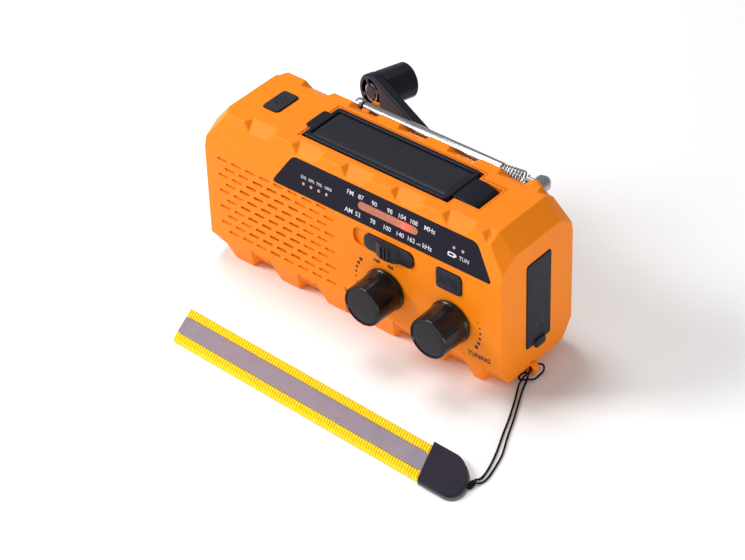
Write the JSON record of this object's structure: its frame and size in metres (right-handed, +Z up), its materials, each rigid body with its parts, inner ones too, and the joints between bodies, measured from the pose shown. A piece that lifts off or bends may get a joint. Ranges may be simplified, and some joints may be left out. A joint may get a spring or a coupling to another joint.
{
  "type": "emergency radio",
  "caption": "Hand-cranked emergency radio: chamfered orange case, dial, two knobs, speaker grille, solar lid, telescopic aerial, crank, and a reflective strap on a cord.",
  "frame": {"origin": "the middle of the radio's footprint, on the surface it stands on", "axes": "+X towards the end with the sockets, -Y out of the front with the dial, +Z up"},
  "size_m": [0.1818, 0.1447, 0.0758],
  "materials": {
    "case_orange": "satin moulded",
    "black_plastic": "satin to glossy",
    "black_rubber": "matte",
    "dial_print": "printed film",
    "salmon_plastic": "matte",
    "red_plastic": "glossy",
    "clear_plastic": "clear",
    "white_plastic": "satin",
    "solar_silicon": "laminated cells",
    "chrome_plate": "polished",
    "plated_steel": "zinc plated",
    "circuit_board": "solder mask",
    "speaker_paper": "pressed paper",
    "battery_wrap": "shrink film",
    "strap_webbing": "woven, reflective stripe",
    "cord_black": "braided"
  },
  "bodies": {
    "radio": {"front_housing": "case_orange", "rear_housing": "case_orange", "lamp_tray": "case_orange", "reading_lamp_lens": "white_plastic", "reading_lamp_board": "circuit_board", "dial_panel": "dial_print", "dial_scale_backing": "salmon_plastic", "charge_light_guide": "white_plastic", "state_light_guide": "white_plastic", "band_switch_body": "plated_steel", "volume_control": "plated_steel", "tuning_capacitor": "white_plastic", "speaker_frame": "plated_steel", "speaker_cone": "speaker_paper", "main_circuit_board": "circuit_board", "battery_cell": "battery_wrap", "generator": "plated_steel", "torch_lens": "clear_plastic", "torch_reflector": "chrome_plate", "torch_led": "white_plastic", "port_board": "circuit_board", "usb_socket": "plated_steel", "charging_socket": "plated_steel", "earphone_socket": "plated_steel", "case_screw_1": "plated_steel", "case_screw_2": "plated_steel", "case_screw_3": "plated_steel", "case_screw_4": "plated_steel", "lid_hinge_pin": "plated_steel", "aerial_pivot_screw": "plated_steel", "lanyard_cord": "cord_black", "strap_tab_cover": "black_rubber", "strap_tab_base": "black_rubber", "hand_strap": "strap_webbing"},
    "lid": {"solar_lid": "black_plastic", "solar_cell": "solar_silicon"},
    "lamp_switch": {"lamp_button": "black_rubber"},
    "sos": {"sos_button": "black_rubber"},
    "volume": {"volume_knob": "black_plastic", "volume_shaft": "plated_steel"},
    "tuning": {"tuning_knob": "black_plastic", "tuning_shaft": "plated_steel"},
    "pointer": {"tuning_pointer": "red_plastic"},
    "band": {"band_switch_cap": "black_plastic"},
    "crank": {"crank_hub": "black_plastic", "crank_fold_pin": "plated_steel", "drive_gear": "white_plastic"},
    "idler": {"idler_gear": "white_plastic"},
    "rotor": {"generator_pinion": "plated_steel"},
    "arm": {"crank_arm": "black_plastic", "crank_knob_post": "plated_steel"},
    "grip": {"crank_knob": "black_plastic"},
    "aerial": {"aerial_knuckle": "chrome_plate", "aerial_spring": "chrome_plate", "aerial_tube_outer": "chrome_plate"},
    "aerial_middle": {"aerial_tube_middle": "chrome_plate"},
    "aerial_inner": {"aerial_rod_inner": "chrome_plate", "aerial_tip": "chrome_plate"},
    "ports": {"port_cover": "black_rubber"},
    "door": {"battery_door": "case_orange"}
  },
  "joints": [
    {"name": "lid_hinge", "type": "hinge", "parent": "radio", "child": "lid", "pos_m": [0.0504, 0, 0.071], "axis": [0, 1, 0], "range_deg": [0, 90]},
    {"name": "lamp_button_press", "type": "slide", "parent": "radio", "child": "lamp_switch", "axis": [0, 0, -1], "range_m": [0, 0.001], "stiffness_N_per_m": 800},
    {"name": "sos_button_press", "type": "slide", "parent": "radio", "child": "sos", "axis": [0, 1, 0], "range_m": [0, 0.001], "stiffness_N_per_m": 800},
    {"name": "volume_turn", "type": "hinge", "parent": "radio", "child": "volume", "pos_m": [0.0192, -0.0242, 0.0277], "axis": [0, 1, 0], "range_deg": [-130, 140]},
    {"name": "tuning_turn", "type": "hinge", "parent": "radio", "child": "tuning", "pos_m": [0.0532, -0.0242, 0.0279], "axis": [0, 1, 0], "range_deg": [-207, 63]},
    {"name": "pointer_travel", "type": "slide", "parent": "radio", "child": "pointer", "axis": [1, 0, 0], "range_m": [-0.0208, 0.0064]},
    {"name": "band_select", "type": "slide", "parent": "radio", "child": "band", "axis": [1, 0, 0], "range_m": [-0.0055, 0]},
    {"name": "crank_turn", "type": "hinge", "parent": "radio", "child": "crank", "pos_m": [0.003, 0.019, 0.054], "axis": [0, 1, 0], "continuous": true},
    {"name": "idler_turn", "type": "hinge", "parent": "radio", "child": "idler", "pos_m": [-0.01055, 0.01, 0.054], "axis": [0, 1, 0], "continuous": true},
    {"name": "rotor_turn", "type": "hinge", "parent": "radio", "child": "rotor", "pos_m": [-0.022, 0.009, 0.054], "axis": [0, 1, 0], "continuous": true},
    {"name": "arm_fold", "type": "hinge", "parent": "crank", "child": "arm", "pos_m": [0.003, 0.0256, 0.054], "axis": [-0.2521, 0, -0.9677], "range_deg": [0, 132]},
    {"name": "grip_spin", "type": "hinge", "parent": "arm", "child": "grip", "pos_m": [-0.04037, 0.03761, 0.0653], "axis": [0.2505, 0.9659, -0.0652], "continuous": true},
    {"name": "aerial_lift", "type": "hinge", "parent": "radio", "child": "aerial", "pos_m": [0.061, 0.0241, 0.0705], "axis": [0, 1, 0], "range_deg": [0, 150]},
    {"name": "aerial_middle_pull", "type": "slide", "parent": "aerial", "child": "aerial_middle", "axis": [-1, 0, 0], "range_m": [0, 0.06]},
    {"name": "aerial_inner_pull", "type": "slide", "parent": "aerial_middle", "child": "aerial_inner", "axis": [-1, 0, 0], "range_m": [0, 0.058]},
    {"name": "port_cover_swing", "type": "hinge", "parent": "radio", "child": "ports", "pos_m": [0.0789, 0.0009, 0.0563], "axis": [0, -1, 0], "range_deg": [0, 120]},
    {"name": "battery_door_slide", "type": "slide", "parent": "radio", "child": "door", "axis": [0, 0, -1], "range_m": [0, 0.01]}
  ],
  "couplings": [
    {"joint": "pointer_travel", "follows": "tuning_turn", "m_per_rad": 0.00573},
    {"joint": "idler_turn", "follows": "crank_turn", "ratio": -2.8},
    {"joint": "rotor_turn", "follows": "crank_turn", "ratio": 8.4}
  ]
}
